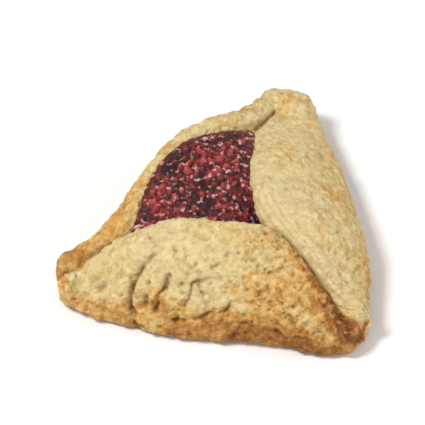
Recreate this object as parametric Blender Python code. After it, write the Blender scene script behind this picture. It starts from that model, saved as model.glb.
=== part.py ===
"""A hamantaschen: a round of dough folded up on three sides over a jam filling.

The flat underside rests on Z = 0 with +Z up, the viewer looks along +Y, and sizes are in metres.
Each fold is a thick sheet that rises from the foot, leans inwards and ends in a rounded rim."""

import math
from dataclasses import dataclass, field

import bmesh
import bpy
import numpy as np
from mathutils import Vector, noise

# The rolled dough, the floor of the pocket and the height of the folds
DOUGH = 0.0054
FLOOR = 0.0048
TOP = 0.0215

# The jam, from the floor to the top of its dome, and the gap round it. From the dome's middle it sags by
# this much over its reach. The brim's height and width are parts of the jam's own
JAM_FLOOR = FLOOR - 0.0018
JAM_SHOULDER = FLOOR + 0.0012
JAM_TOP = TOP - 0.0015
JAM_MIDDLE = Vector((-0.0020, 0.0040))
JAM_SAG = 0.0060
JAM_REACH = 0.0200
JAM_BRIM = 0.95
JAM_BRIM_WIDTH = 0.3
JAM_GAP = 0.0003

# Feet and floor lie at slightly different heights and insets, so that no two skins coincide
FOOT_LIFT = 0.00015
FLOOR_INSET = 0.0012
LUMP_INSET = 0.0008
LUMP_WAIST = 0.4

# The tips of the folds get thinner, lower and dive inwards
TIP_LENGTH = 0.0040
TIP_THICKNESS = 0.3
TIP_HEIGHT = 0.1
TIP_DIVE = 0.0018
TUCK_REACH = 0.12

# Hand-made unevenness, the same for dough and jam, and the same each run by its seed
WARP = 0.0006
WARP_SIZE = 0.016
WARP_SEED = 47

# How finely the shapes are divided
STEP_ALONG = 0.0015
STEPS_UP = 10
STEPS_ROUND = 5
JAM_POINTS = 84
JAM_WALL_RINGS = 6
JAM_TOP_RINGS = 8
LUMP_SIDES = (24, 14)
SHORTEST_EDGE = 0.000002


@dataclass
class Corner:
    """A rounded corner seen from above. The bow is the radius of the wide arc that follows it."""

    middle: Vector
    radius: float
    bow: float


LEFT = Corner(Vector((-0.0279, -0.0170)), 0.0062, 0.250)
RIGHT = Corner(Vector((0.0275, -0.0289)), 0.0066, 0.150)
BACK = Corner(Vector((0.0158, 0.0281)), 0.0080, 1.000)
BASE = (LEFT, RIGHT, BACK)
LUMP_HEIGHTS = (0.0092, 0.0088, 0.0138)

# The jam is wide in the pocket under the folds, and narrower in the mouth between their rims
POCKET = (
    Corner(Vector((-0.0203, -0.0129)), 0.0030, 0.150),
    Corner(Vector((0.0222, -0.0214)), 0.0030, 0.180),
    Corner(Vector((0.0137, 0.0206)), 0.0030, 0.200),
)
MOUTH = (
    Corner(Vector((-0.0178, -0.0124)), 0.0025, 0.200),
    Corner(Vector((0.0112, -0.0149)), 0.0025, 0.200),
    Corner(Vector((0.0070, 0.0156)), 0.0030, 0.038),
)


@dataclass
class Wrinkle:
    """A soft groove on the outside of a fold. It runs between two places, each (part along, part up)."""

    start: tuple
    end: tuple
    depth: float
    width: float


@dataclass
class End:
    """How a fold ends at a corner.

    Height and inset are the rim's where the corner begins. From there they ease to the fold's fullest over
    a reach, as a part of the way along. The wrap is how far round the corner the fold goes on, in degrees,
    and the tuck how far it lies inwards of the outline."""

    height: float
    height_reach: float
    inset: float
    inset_reach: float
    inset_ease: float
    wrap: float
    tuck: float


@dataclass
class Fold:
    """One side folded up between two corners, counterclockwise seen from above.

    Inset is how far the rim's edge lies inside the foot. Roundness is 0 for a straight slope and 1 for a
    steep side under a flat top. Halfway along, opening is how much further out the rim stands, and thinning
    the part of the dough's thickness that is pressed away. A quarter of the way from each corner, bunch is
    how much thicker the dough is, and sway how far the foot swings out near the first corner and in near
    the last."""

    first: Corner
    last: Corner
    first_end: End
    last_end: End
    inset: float
    crest: float
    roundness: float
    opening: float = 0.0
    thinning: float = 0.0
    bunch: float = 0.0
    sway: float = 0.0
    wrinkles: list = field(default_factory=list)


FRONT = Fold(
    LEFT, RIGHT,
    End(height=0.0105, height_reach=0.46, inset=0.0052, inset_reach=0.50, inset_ease=0.35, wrap=75, tuck=0.0),
    End(height=0.0090, height_reach=0.40, inset=0.0056, inset_reach=0.30, inset_ease=1.0,
        wrap=75, tuck=0.0005),
    inset=0.0183, crest=TOP + 0.0003, roundness=0.7, sway=0.0010,
    wrinkles=[
        Wrinkle((0.28, 0.78), (0.22, 0.48), 0.0010, 0.0013),
        Wrinkle((0.22, 0.48), (0.22, 0.14), 0.0010, 0.0013),
        Wrinkle((0.35, 0.54), (0.32, 0.20), 0.0008, 0.0012),
        Wrinkle((0.50, 0.53), (0.42, 0.24), 0.0008, 0.0012),
        Wrinkle((0.58, 0.32), (0.48, 0.16), 0.0010, 0.0012),
        Wrinkle((0.48, 0.16), (0.38, 0.08), 0.0010, 0.0012),
    ],
)
SIDE = Fold(
    RIGHT, BACK,
    End(height=0.0092, height_reach=0.36, inset=0.0054, inset_reach=0.40, inset_ease=1.0, wrap=30, tuck=0.0),
    End(height=0.0122, height_reach=0.60, inset=0.0068, inset_reach=0.50, inset_ease=0.42, wrap=70, tuck=0.0),
    inset=0.0237, crest=TOP, roundness=0.88,
)
REAR = Fold(
    BACK, LEFT,
    End(height=0.0130, height_reach=0.32, inset=0.0062, inset_reach=0.25, inset_ease=1.0,
        wrap=60, tuck=0.0006),
    End(height=0.0112, height_reach=0.60, inset=0.0050, inset_reach=0.25, inset_ease=1.0,
        wrap=75, tuck=0.0006),
    inset=0.0112, crest=TOP - 0.0019, roundness=0.25, opening=0.0068, thinning=0.35, bunch=0.0018,
    wrinkles=[
        Wrinkle((0.10, 1.10), (0.05, 0.60), 0.0005, 0.0013),
        Wrinkle((0.19, 1.10), (0.12, 0.60), 0.0005, 0.0013),
    ],
)
FOLDS = {"front": FRONT, "side": SIDE, "rear": REAR}


def bow_middle(first, last):
    """Middle of the wide arc that runs along a side and touches both corner circles."""
    first_reach = first.bow - first.radius
    last_reach = first.bow - last.radius
    chord = last.middle - first.middle
    span = chord.length
    along = (first_reach**2 - last_reach**2 + span**2) / (2 * span)
    across = math.sqrt(first_reach**2 - along**2)
    forward = chord / span
    inward = Vector((-forward.y, forward.x))
    return first.middle + forward * along + inward * across


def heading(vector):
    return math.atan2(vector.y, vector.x)


def direction(angle):
    return Vector((math.cos(angle), math.sin(angle)))


def foot_path(fold):
    """Places along a fold's foot: (point, outward direction, part of the way along, distance, distance left).

    The part of the way along is 0 and 1 where the wide arc meets the corners, and stays there round them."""
    middle = bow_middle(fold.first, fold.last)
    start = heading(fold.first.middle - middle)
    sweep = (heading(fold.last.middle - middle) - start) % math.tau
    first_wrap = math.radians(fold.first_end.wrap)
    last_wrap = math.radians(fold.last_end.wrap)
    arcs = [
        (fold.first.middle, fold.first.radius, start - first_wrap, first_wrap),
        (middle, fold.first.bow, start, sweep),
        (fold.last.middle, fold.last.radius, start + sweep, last_wrap),
    ]
    lengths = [radius * turn for _, radius, _, turn in arcs]
    total = sum(lengths)
    places = []
    for distance in np.linspace(0, total, round(total / STEP_ALONG) + 1):
        number = 0
        on_arc = distance
        while number < 2 and on_arc > lengths[number]:
            on_arc -= lengths[number]
            number += 1
        centre, radius, angle, _ = arcs[number]
        outward = direction(angle + on_arc / radius)
        part = (0.0, on_arc / lengths[1], 1.0)[number]
        places.append((centre + outward * radius, outward, part, distance, total - distance))
    return places


def ease(part, reach, power=1.0):
    """From 0 at 0 to 1 at the reach, ever more gently."""
    return math.sin(math.pi / 2 * min(part / reach, 1)) ** power


def rim(fold, part):
    """Inset and height of a fold's rim at a part of the way along."""
    first, last = fold.first_end, fold.last_end
    narrow = min(
        first.inset + (fold.inset - first.inset) * ease(part, first.inset_reach, first.inset_ease),
        last.inset + (fold.inset - last.inset) * ease(1 - part, last.inset_reach, last.inset_ease),
    )
    height = min(
        first.height + (fold.crest - first.height) * ease(part, first.height_reach),
        last.height + (fold.crest - last.height) * ease(1 - part, last.height_reach),
    )
    return narrow - fold.opening * math.sin(math.pi * part) ** 4, height


def spine(fold, part, thickness, lowered, up):
    """Middle of the dough at a place on the fold, as (inset, height), and the way out across it."""
    inset, height = rim(fold, part)
    low = np.array([thickness / 2, thickness / 2 + FOOT_LIFT])
    high = low + (np.array([inset, height]) - thickness - [0, FOOT_LIFT]) * lowered
    turn = up * math.pi / 2
    curve = np.array([1 - math.cos(turn), math.sin(turn)])
    slope = np.array([math.sin(turn), math.cos(turn)]) * math.pi / 2
    way = up + (curve - up) * fold.roundness
    rise = (high - low) * (1 + (slope - 1) * fold.roundness)
    across = np.array([-rise[1], rise[0]]) / np.linalg.norm(rise)
    return low + (high - low) * way, across


def wrinkle_depth(fold, part, up):
    """How deep the wrinkles of a fold are at a place on its outside."""
    depth = 0.0
    scale = Vector(((fold.last.middle - fold.first.middle).length, fold.crest))
    place = Vector((part, up)) * scale
    for wrinkle in fold.wrinkles:
        start = Vector(wrinkle.start) * scale
        line = Vector(wrinkle.end) * scale - start
        nearest = start + line * min(max((place - start).dot(line) / line.length_squared, 0), 1)
        depth = max(depth, wrinkle.depth * math.exp(-(((place - nearest).length / wrinkle.width) ** 2)))
    return depth


def cap(centre, across, first_half, last_half):
    """Half a turn of points round the end of a sheet, from its first side to its last."""
    onwards = np.array([across[1], -across[0]])
    points = []
    for turn in np.linspace(0, math.pi, STEPS_ROUND + 1)[1:-1]:
        half = first_half + (last_half - first_half) * (1 - math.cos(turn)) / 2
        points.append(centre + across * half * math.cos(turn) + onwards * half * math.sin(turn))
    return points


def section(fold, part, thickness, lowered, grow):
    """Closed loop of (inset, height) pairs: up the outside, over the rim, down the inside, round the foot."""
    half = thickness / 2 + grow
    heights = np.linspace(0, 1, STEPS_UP + 1)
    spines = [spine(fold, part, thickness, lowered, up) for up in heights]
    halves = [half - wrinkle_depth(fold, part, up) for up in heights]
    loop = [centre + across * narrow for (centre, across), narrow in zip(spines, halves)]
    top, top_across = spines[-1]
    loop += cap(top, top_across, halves[-1], half)
    loop += [centre - across * half for centre, across in reversed(spines)]
    foot, foot_across = spines[0]
    loop += cap(foot, -foot_across, half, halves[0])
    return loop


def link(name, mesh):
    """An object in the scene from a finished mesh."""
    data = bpy.data.meshes.new(name)
    mesh.to_mesh(data)
    mesh.free()
    solid = bpy.data.objects.new(name, data)
    bpy.context.scene.collection.objects.link(solid)
    return solid


def loft(name, rings):
    """A closed solid through rings of points, with a flat cap on the first and the last."""
    mesh = bmesh.new()
    rows = [[mesh.verts.new(point) for point in ring] for ring in rings]
    for row, beyond in zip(rows, rows[1:]):
        for number in range(len(row)):
            after = (number + 1) % len(row)
            mesh.faces.new((row[number], row[after], beyond[after], beyond[number]))
    mesh.faces.new(reversed(rows[0]))
    mesh.faces.new(rows[-1])
    bmesh.ops.recalc_face_normals(mesh, faces=mesh.faces)
    return link(name, mesh)


def rounded(part):
    """A quarter circle's height: 0 at 0, and 1 from 1 on."""
    return math.sqrt(1 - (1 - min(part, 1)) ** 2)


def fold_solid(name, fold, grow):
    """The thick sheet of one fold. Round the corners it gets lower, down to a thin tip."""
    first_wrap = math.radians(fold.first_end.wrap) * fold.first.radius
    last_wrap = math.radians(fold.last_end.wrap) * fold.last.radius
    rings = []
    for point, outward, part, distance, left in foot_path(fold):
        near_tip = min(distance / TIP_LENGTH, left / TIP_LENGTH, 1)
        thin = TIP_THICKNESS + (1 - TIP_THICKNESS) * rounded(near_tip)
        thinned = DOUGH * (1 - fold.thinning * math.sin(math.pi * part) ** 4)
        thickness = (thinned + fold.bunch * math.sin(math.tau * part) ** 2) * thin
        lowered = TIP_HEIGHT + (1 - TIP_HEIGHT) * rounded(min(distance / first_wrap, left / last_wrap))
        shift = TIP_DIVE * (1 - near_tip)
        shift += fold.first_end.tuck * max(1 - part / TUCK_REACH, 0)
        shift += fold.last_end.tuck * max(1 - (1 - part) / TUCK_REACH, 0)
        ring = []
        for inset, height in section(fold, part, thickness, lowered, grow):
            sway = fold.sway * math.sin(math.tau * part) * (1 - height / TOP)
            place = point - outward * (inset + shift - sway)
            ring.append((place.x, place.y, height))
        rings.append(ring)
    return loft(name, rings)


def outline(corners, inset=0.0):
    """The rounded triangle round three corners seen from above, moved in by the inset."""
    points = []
    for number, corner in enumerate(corners):
        after = corners[(number + 1) % 3]
        middle = bow_middle(corner, after)
        start = heading(corner.middle - middle)
        sweep = (heading(after.middle - middle) - start) % math.tau
        came_from = heading(corner.middle - bow_middle(corners[number - 1], corner))
        corner_sweep = (start - came_from) % math.tau
        arcs = [(corner.middle, corner.radius, came_from, corner_sweep), (middle, corner.bow, start, sweep)]
        for centre, radius, angle, turn in arcs:
            pieces = round(radius * turn / STEP_ALONG)
            for piece in range(pieces):
                points.append(centre + direction(angle + turn * piece / pieces) * (radius - inset))
    return points


def even_loop(points, count):
    """The same closed loop with its points evenly spaced."""
    closed = np.array([(point.x, point.y) for point in [*points, points[0]]])
    lengths = np.concatenate([[0], np.cumsum(np.linalg.norm(np.diff(closed, axis=0), axis=1))])
    places = np.linspace(0, lengths[-1], count, endpoint=False)
    xs = np.interp(places, lengths, closed[:, 0])
    ys = np.interp(places, lengths, closed[:, 1])
    return [Vector(pair) for pair in zip(xs, ys)]


def floor_solid(grow):
    """The floor of the pocket: the outline with a rounded edge, a little inside the feet of the folds."""
    half = FLOOR / 2
    rings = []
    for turn in np.linspace(-math.pi / 2, math.pi / 2, STEPS_ROUND + 1):
        inset = FLOOR_INSET + half - (half + grow) * math.cos(turn)
        height = half + (half + grow) * math.sin(turn)
        rings.append([(point.x, point.y, height) for point in outline(BASE, inset)])
    return loft("floor", rings)


def lump_solid(corner, height, grow):
    """The pinched dough that fills the inside of a corner: a dome with a short underside."""
    radius = corner.radius - LUMP_INSET + grow
    waist = height * LUMP_WAIST
    above = height - waist + grow
    below = waist - 2 * FOOT_LIFT + grow
    mesh = bmesh.new()
    bmesh.ops.create_uvsphere(mesh, u_segments=LUMP_SIDES[0], v_segments=LUMP_SIDES[1], radius=1)
    for vertex in mesh.verts:
        place = vertex.co.copy()
        vertex.co.xy = corner.middle + place.xy * radius
        vertex.co.z = waist + place.z * (above if place.z > 0 else below)
    return link("lump", mesh)


def dough_solids(grow=0.0):
    """The three folds, the floor and the three pinched corners, each grown on all sides."""
    solids = [fold_solid(name, fold, grow) for name, fold in FOLDS.items()]
    solids.append(floor_solid(grow))
    solids += [lump_solid(corner, height, grow) for corner, height in zip(BASE, LUMP_HEIGHTS)]
    return solids


def combine(target, others, operation):
    """Joins the other solids to the target, or cuts them out of it, and removes them."""
    group = bpy.data.collections.new("others")
    for other in others:
        group.objects.link(other)
    modifier = target.modifiers.new(operation.lower(), "BOOLEAN")
    modifier.operand_type = "COLLECTION"
    modifier.collection = group
    modifier.operation = operation
    modifier.solver = "MANIFOLD"
    evaluated = target.evaluated_get(bpy.context.evaluated_depsgraph_get())
    data = bpy.data.meshes.new_from_object(evaluated)
    target.modifiers.clear()
    target.data = data
    for other in others:
        bpy.data.objects.remove(other)
    bpy.data.collections.remove(group)


def keep_largest(solid):
    """Keeps the outer skin of a solid, without loose scraps or the skins of sealed hollows."""
    mesh = bmesh.new()
    mesh.from_mesh(solid.data)
    bmesh.ops.dissolve_degenerate(mesh, edges=mesh.edges, dist=SHORTEST_EDGE)
    unseen = set(mesh.faces)
    groups = []
    while unseen:
        group = set()
        front = [unseen.pop()]
        while front:
            face = front.pop()
            group.add(face)
            for edge in face.edges:
                for near in edge.link_faces:
                    if near in unseen:
                        unseen.remove(near)
                        front.append(near)
        groups.append(group)
    groups.sort(key=len, reverse=True)
    scraps = [face for group in groups[1:] for face in group]
    bmesh.ops.delete(mesh, geom=scraps, context="FACES")
    loose = [vertex for vertex in mesh.verts if not vertex.link_faces]
    bmesh.ops.delete(mesh, geom=loose, context="VERTS")
    bmesh.ops.recalc_face_normals(mesh, faces=mesh.faces)
    mesh.to_mesh(solid.data)
    mesh.free()


def warp(solid):
    """Pushes a solid's points about smoothly, as hands do. The underside stays flat."""
    for vertex in solid.data.vertices:
        push = noise.noise_vector(vertex.co / WARP_SIZE) * WARP
        push.z *= min(vertex.co.z / FLOOR, 1)
        vertex.co += push


def pastry():
    """The dough: everything pinched into one body."""
    solids = dough_solids()
    body = solids[0]
    combine(body, solids[1:], "UNION")
    keep_largest(body)
    warp(body)
    body.name = "pastry"
    return body


def between(first, last, part):
    """Corners part of the way from the first set to the last."""
    corners = []
    for start, end in zip(first, last):
        radius = start.radius + (end.radius - start.radius) * part
        bow = start.bow + (end.bow - start.bow) * part
        corners.append(Corner(start.middle.lerp(end.middle, part), radius, bow))
    return corners


def jam_top(place):
    """Height of the jam's domed top over a place. It sags towards the corners."""
    return JAM_TOP - JAM_SAG * ((place - JAM_MIDDLE).length / JAM_REACH) ** 2


def jam_rings():
    """Loops of points round the jam, from its floor up the walls and then in over its top."""
    steps = [(rise, math.sin(rise * math.pi / 2), 1.0) for rise in np.linspace(0, JAM_BRIM, JAM_WALL_RINGS)]
    for turn in np.linspace(0, math.pi / 2, JAM_TOP_RINGS + 2)[1:-1]:
        size = math.cos(turn)
        rise = JAM_BRIM + (1 - JAM_BRIM) * rounded((1 - size) / JAM_BRIM_WIDTH)
        steps.append((rise, 1.0, size))
    floor = even_loop(outline(POCKET), JAM_POINTS)
    rings = [[(point.x, point.y, JAM_FLOOR) for point in floor]]
    for rise, narrowed, size in steps:
        edge = even_loop(outline(between(POCKET, MOUTH, narrowed)), JAM_POINTS)
        middle = sum(edge, Vector((0, 0))) / JAM_POINTS
        ring = []
        for point in edge:
            place = middle + (point - middle) * size
            height = JAM_SHOULDER + (jam_top(place) - JAM_SHOULDER) * rise
            ring.append((place.x, place.y, height))
        rings.append(ring)
    return rings


def filling():
    """The jam: it fills the pocket up to the mouth, domes a little, and stays a gap away from the dough."""
    body = loft("filling", jam_rings())
    combine(body, dough_solids(JAM_GAP), "DIFFERENCE")
    keep_largest(body)
    warp(body)
    body.name = "filling"
    return body


def settle(solids):
    """Moves the solids together so that the first one's underside is centred on the origin."""
    points = np.array([vertex.co for vertex in solids[0].data.vertices])
    low = points.min(axis=0)
    high = points.max(axis=0)
    shift = Vector((-(low[0] + high[0]) / 2, -(low[1] + high[1]) / 2, -low[2]))
    for solid in solids:
        for vertex in solid.data.vertices:
            vertex.co += shift


def finish(solid, name, colour, roughness):
    """Gives a solid its own material and smooth shading."""
    made = bpy.data.materials.new(name)
    made.use_nodes = True
    shader = made.node_tree.nodes["Principled BSDF"]
    shader.inputs["Base Color"].default_value = (*colour, 1)
    shader.inputs["Roughness"].default_value = roughness
    shader.inputs["Metallic"].default_value = 0
    solid.data.materials.clear()
    solid.data.materials.append(made)
    for face in solid.data.polygons:
        face.use_smooth = True


def main():
    for old in list(bpy.data.objects):
        bpy.data.objects.remove(old)
    noise.seed_set(WARP_SEED)
    dough = pastry()
    jam = filling()
    settle((dough, jam))
    finish(dough, "baked_dough", (0.70, 0.50, 0.24), 0.85)
    finish(jam, "red_jam", (0.13, 0.02, 0.02), 0.3)


main()
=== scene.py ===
"""Looks of the hamantaschen: the folded dough and its jam in fine relief, their materials, light and camera.

The form is the solids' own, worked out from the same sizes. They are in metres, with +Z up, and the viewer
looks along +Y."""

import math
from dataclasses import dataclass, field

import bmesh
import bpy
import numpy as np
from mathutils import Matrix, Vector, noise
from mathutils.bvhtree import BVHTree


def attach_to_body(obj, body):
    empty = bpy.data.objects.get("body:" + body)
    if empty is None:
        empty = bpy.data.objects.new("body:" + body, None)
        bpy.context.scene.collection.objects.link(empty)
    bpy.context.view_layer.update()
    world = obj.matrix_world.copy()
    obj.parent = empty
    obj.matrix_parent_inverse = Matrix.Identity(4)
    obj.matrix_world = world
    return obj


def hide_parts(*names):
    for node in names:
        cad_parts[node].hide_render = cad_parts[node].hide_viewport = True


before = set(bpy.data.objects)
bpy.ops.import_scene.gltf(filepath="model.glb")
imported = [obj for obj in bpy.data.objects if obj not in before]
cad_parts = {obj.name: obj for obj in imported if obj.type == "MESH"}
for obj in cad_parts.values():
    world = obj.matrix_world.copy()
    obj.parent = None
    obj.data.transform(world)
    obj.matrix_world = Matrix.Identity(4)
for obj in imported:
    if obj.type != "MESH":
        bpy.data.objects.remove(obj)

# The rolled dough, the floor of the pocket and the height of the folds
DOUGH = 0.0054
FLOOR = 0.0048
TOP = 0.0215

# The jam, from the floor to the top of its dome, and how far it reaches into the dough
JAM_FLOOR = FLOOR - 0.0018
JAM_SHOULDER = FLOOR + 0.0012
JAM_TOP = TOP - 0.0015
JAM_SAG = 0.0060
JAM_MIDDLE = Vector((-0.0020, 0.0040))
JAM_REACH = 0.0200
JAM_BRIM = 0.95
JAM_BRIM_WIDTH = 0.3
JAM_BITE = 0.0003

# The jam's lumps lie flatter this close to the dough, at a part of their height
JAM_EDGE = 0.0022
JAM_EDGE_RELIEF = 0.25

FOOT_LIFT = 0.00015
FLOOR_INSET = 0.0012
LUMP_INSET = 0.0008
LUMP_WAIST = 0.4

# The tips of the folds get thinner, lower and dive inwards
TIP_LENGTH = 0.0040
TIP_THICKNESS = 0.3
TIP_HEIGHT = 0.1
TIP_DIVE = 0.0018
TUCK_REACH = 0.12

WARP = 0.0006
WARP_SIZE = 0.016
WARP_SEED = 47

# Fineness of the folds, and of the skins they become
STEP_ALONG = 0.0007
STEPS_UP = 30
STEPS_ROUND = 10
JAM_POINTS = 120
JAM_WALL_RINGS = 6
JAM_TOP_RINGS = 12
LUMP_SIDES = (36, 20)
DOUGH_GRAIN = 0.00041
JAM_GRAIN = 0.00032
DOUGH_SMOOTHINGS = 3
JAM_SMOOTHINGS = 2


@dataclass
class Corner:
    """A rounded corner seen from above. The bow is the radius of the wide arc that follows it."""

    middle: Vector
    radius: float
    bow: float


LEFT = Corner(Vector((-0.0279, -0.0170)), 0.0062, 0.250)
RIGHT = Corner(Vector((0.0275, -0.0289)), 0.0066, 0.150)
BACK = Corner(Vector((0.0158, 0.0281)), 0.0080, 1.000)
BASE = (LEFT, RIGHT, BACK)
LUMP_HEIGHTS = (0.0092, 0.0088, 0.0138)
POCKET = (
    Corner(Vector((-0.0203, -0.0129)), 0.0030, 0.150),
    Corner(Vector((0.0222, -0.0214)), 0.0030, 0.180),
    Corner(Vector((0.0137, 0.0206)), 0.0030, 0.200),
)
MOUTH = (
    Corner(Vector((-0.0178, -0.0124)), 0.0025, 0.200),
    Corner(Vector((0.0112, -0.0149)), 0.0025, 0.200),
    Corner(Vector((0.0070, 0.0156)), 0.0030, 0.038),
)


@dataclass
class Wrinkle:
    """A groove on the outside of a fold, through places that are each (part along, part up)."""

    path: list
    depth: float
    width: float


@dataclass
class End:
    """How a fold ends at a corner.

    Height and inset are the rim's where the corner begins. From there they ease to the fold's fullest over
    a reach, as a part of the way along. An inset ease under 1 gets there sooner. The wrap is how far round
    the corner the fold goes on, in degrees, and the tuck how far it lies inwards of the outline."""

    height: float
    height_reach: float
    inset: float
    inset_reach: float
    inset_ease: float
    wrap: float
    tuck: float


@dataclass
class Fold:
    """One side folded up between two corners, counterclockwise seen from above.

    Inset is how far the rim's edge lies inside the foot, and crest how high it stands, both at their
    fullest. Roundness is 0 for a straight slope and 1 for a steep side under a flat top. Halfway along,
    opening is how much further out the rim stands, and thinning the part of the dough's thickness that is
    pressed away. A quarter of the way from each corner, bunch is how much thicker the dough is, and sway
    how far the foot swings out near the first corner and in near the last."""

    first: Corner
    last: Corner
    first_end: End
    last_end: End
    inset: float
    crest: float
    roundness: float
    opening: float = 0.0
    thinning: float = 0.0
    bunch: float = 0.0
    sway: float = 0.0
    wrinkles: list = field(default_factory=list)


FRONT = Fold(
    LEFT, RIGHT,
    End(height=0.0105, height_reach=0.46, inset=0.0052, inset_reach=0.50, inset_ease=0.35,
        wrap=75, tuck=0.0),
    End(height=0.0090, height_reach=0.40, inset=0.0056, inset_reach=0.30, inset_ease=1.0,
        wrap=75, tuck=0.0005),
    inset=0.0183, crest=TOP + 0.0003, roundness=0.7, sway=0.0010,
    wrinkles=[
        Wrinkle([(0.28, 0.78), (0.23, 0.53), (0.21, 0.36), (0.22, 0.12)], 0.0011, 0.0006),
        Wrinkle([(0.22, 0.14), (0.24, 0.04), (0.25, -0.08)], 0.0018, 0.0008),
        Wrinkle([(0.35, 0.54), (0.34, 0.40), (0.32, 0.30), (0.32, 0.16)], 0.0009, 0.0005),
        Wrinkle([(0.50, 0.53), (0.44, 0.47), (0.43, 0.30), (0.42, 0.22), (0.39, 0.08)], 0.0009, 0.0005),
        Wrinkle([(0.58, 0.34), (0.57, 0.24), (0.51, 0.20), (0.46, 0.14), (0.38, 0.09)], 0.0009, 0.0005),
        Wrinkle([(0.40, 0.70), (0.39, 0.60)], 0.0006, 0.0005),
        Wrinkle([(0.47, 0.40), (0.50, 0.30)], 0.0006, 0.0005),
        Wrinkle([(0.28, 0.29), (0.28, 0.25)], 0.0012, 0.0010),
        Wrinkle([(0.50, 0.94), (0.49, 0.86)], 0.0006, 0.0006),
        Wrinkle([(0.64, 0.14), (0.68, 0.10)], 0.0009, 0.0007),
        Wrinkle([(0.76, 0.09), (0.80, 0.04)], 0.0009, 0.0007),
        Wrinkle([(0.12, 0.58), (0.09, 0.34)], 0.0006, 0.0008),
        Wrinkle([(0.17, 0.62), (0.14, 0.30)], 0.0006, 0.0008),
        Wrinkle([(0.11, 0.20), (0.12, 0.05)], 0.0006, 0.0007),
    ],
)
SIDE = Fold(
    RIGHT, BACK,
    End(height=0.0092, height_reach=0.36, inset=0.0054, inset_reach=0.40, inset_ease=1.0,
        wrap=30, tuck=0.0),
    End(height=0.0122, height_reach=0.60, inset=0.0068, inset_reach=0.50, inset_ease=0.42,
        wrap=70, tuck=0.0),
    inset=0.0237, crest=TOP, roundness=0.88,
    wrinkles=[
        Wrinkle([(0.08, 0.78), (0.18, 0.84), (0.28, 0.86)], 0.0005, 0.0006),
        Wrinkle([(0.52, 0.72), (0.60, 0.66)], 0.0004, 0.0006),
        Wrinkle([(0.30, 0.56), (0.40, 0.50)], 0.0004, 0.0006),
    ],
)
REAR = Fold(
    BACK, LEFT,
    End(height=0.0130, height_reach=0.32, inset=0.0062, inset_reach=0.25, inset_ease=1.0,
        wrap=60, tuck=0.0006),
    End(height=0.0112, height_reach=0.60, inset=0.0050, inset_reach=0.25, inset_ease=1.0,
        wrap=75, tuck=0.0006),
    inset=0.0112, crest=TOP - 0.0019, roundness=0.25, opening=0.0068, thinning=0.35, bunch=0.0018,
    wrinkles=[
        Wrinkle([(0.06, 1.15), (0.02, 0.60)], 0.0003, 0.0008),
        Wrinkle([(0.12, 1.15), (0.07, 0.60)], 0.0004, 0.0008),
        Wrinkle([(0.19, 1.15), (0.14, 0.65)], 0.0003, 0.0008),
        Wrinkle([(0.55, 0.90), (0.50, 0.30)], 0.0005, 0.0011),
        Wrinkle([(0.36, 0.60), (0.40, 0.15)], 0.0005, 0.0011),
        Wrinkle([(0.72, 0.70), (0.70, 0.20)], 0.0004, 0.0010),
    ],
)
FOLDS = {"front": FRONT, "side": SIDE, "rear": REAR}


@dataclass
class Toast:
    """Dough that the oven browned, along a path of places on a fold, each (part along, part up).

    Reach is how far the brown goes from the path, and strength how dark it is, from 0 to 1."""

    fold: str
    path: list
    reach: float
    strength: float


TOASTED = [
    Toast("front", [(1.12, 0.30), (1.04, 0.90), (1.00, 1.10)], 0.0080, 0.98),
    Toast("front", [(1.00, 1.08), (0.92, 1.02), (0.85, 1.00)], 0.0040, 0.66),
    Toast("front", [(1.00, 0.62), (0.86, 0.60), (0.70, 0.40)], 0.0075, 0.40),
    Toast("front", [(0.76, 0.94), (0.64, 0.90)], 0.0038, 0.28),
    Toast("front", [(1.02, 0.10), (0.80, 0.06), (0.60, 0.06)], 0.0055, 0.66),
    Toast("front", [(0.60, 0.10), (0.50, 0.10), (0.38, 0.03)], 0.0036, 0.62),
    Toast("front", [(0.33, 0.24), (0.26, 0.16), (0.24, 0.06)], 0.0030, 0.44),
    Toast("front", [(-0.05, 0.20), (0.10, 0.12), (0.24, 0.04)], 0.0038, 0.38),
    Toast("front", [(-0.14, 0.60), (-0.08, 1.00)], 0.0040, 0.52),
    Toast("front", [(0.00, 0.70), (0.10, 0.50), (0.20, 0.30)], 0.0065, 0.15),
    Toast("rear", [(1.14, 0.30), (1.05, 0.80), (1.00, 1.25)], 0.0074, 0.54),
    Toast("rear", [(0.98, 1.10), (0.84, 1.05), (0.70, 0.95)], 0.0056, 0.42),
    Toast("rear", [(-0.06, 0.90), (0.14, 0.95), (0.30, 1.00)], 0.0040, 0.32),
    Toast("rear", [(0.30, 1.00), (0.70, 1.00)], 0.0026, 0.22),
    Toast("side", [(-0.15, 0.20), (-0.05, 0.60)], 0.0045, 0.90),
    Toast("side", [(0.05, 0.06), (0.90, 0.06)], 0.0045, 0.30),
    Toast("side", [(0.15, 0.36), (0.85, 0.36)], 0.0060, 0.17),
    Toast("side", [(1.06, 0.60), (0.98, 0.90)], 0.0036, 0.22),
]


@dataclass
class Lumps:
    """Random lumps of one kind: how wide and how high they are, and the seed of their places."""

    size: float
    height: float
    seed: int


@dataclass
class Hollows:
    """Random hollows of one kind: how far apart, how wide as a part of that, and how deep they are."""

    spacing: float
    width: float
    depth: float


# The relief of the dough: four sizes of lumps all over it, and bumps along the foot
SWELLS = Lumps(0.0075, 0.00034, 1)
KNOBS = Lumps(0.0034, 0.00036, 2)
CRUMBS = Lumps(0.0019, 0.00038, 3)
GRAINS = Lumps(0.0011, 0.00028, 4)
FOOT_BUMPS = Lumps(0.0026, 0.00060, 6)

# The foot's own bumps and cracks fade out between these heights
FOOT_HEIGHTS = (0.0015, 0.0085)

CRACKS = Hollows(0.0034, 0.14, 0.00055)
PORES = Hollows(0.0016, 0.32, 0.00065)
PITS = Hollows(0.0036, 0.20, 0.00095)
PIT_POWER = 0.6

# What is sunk this deep has the darkest painted shade
DEEPEST = 0.0012

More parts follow.
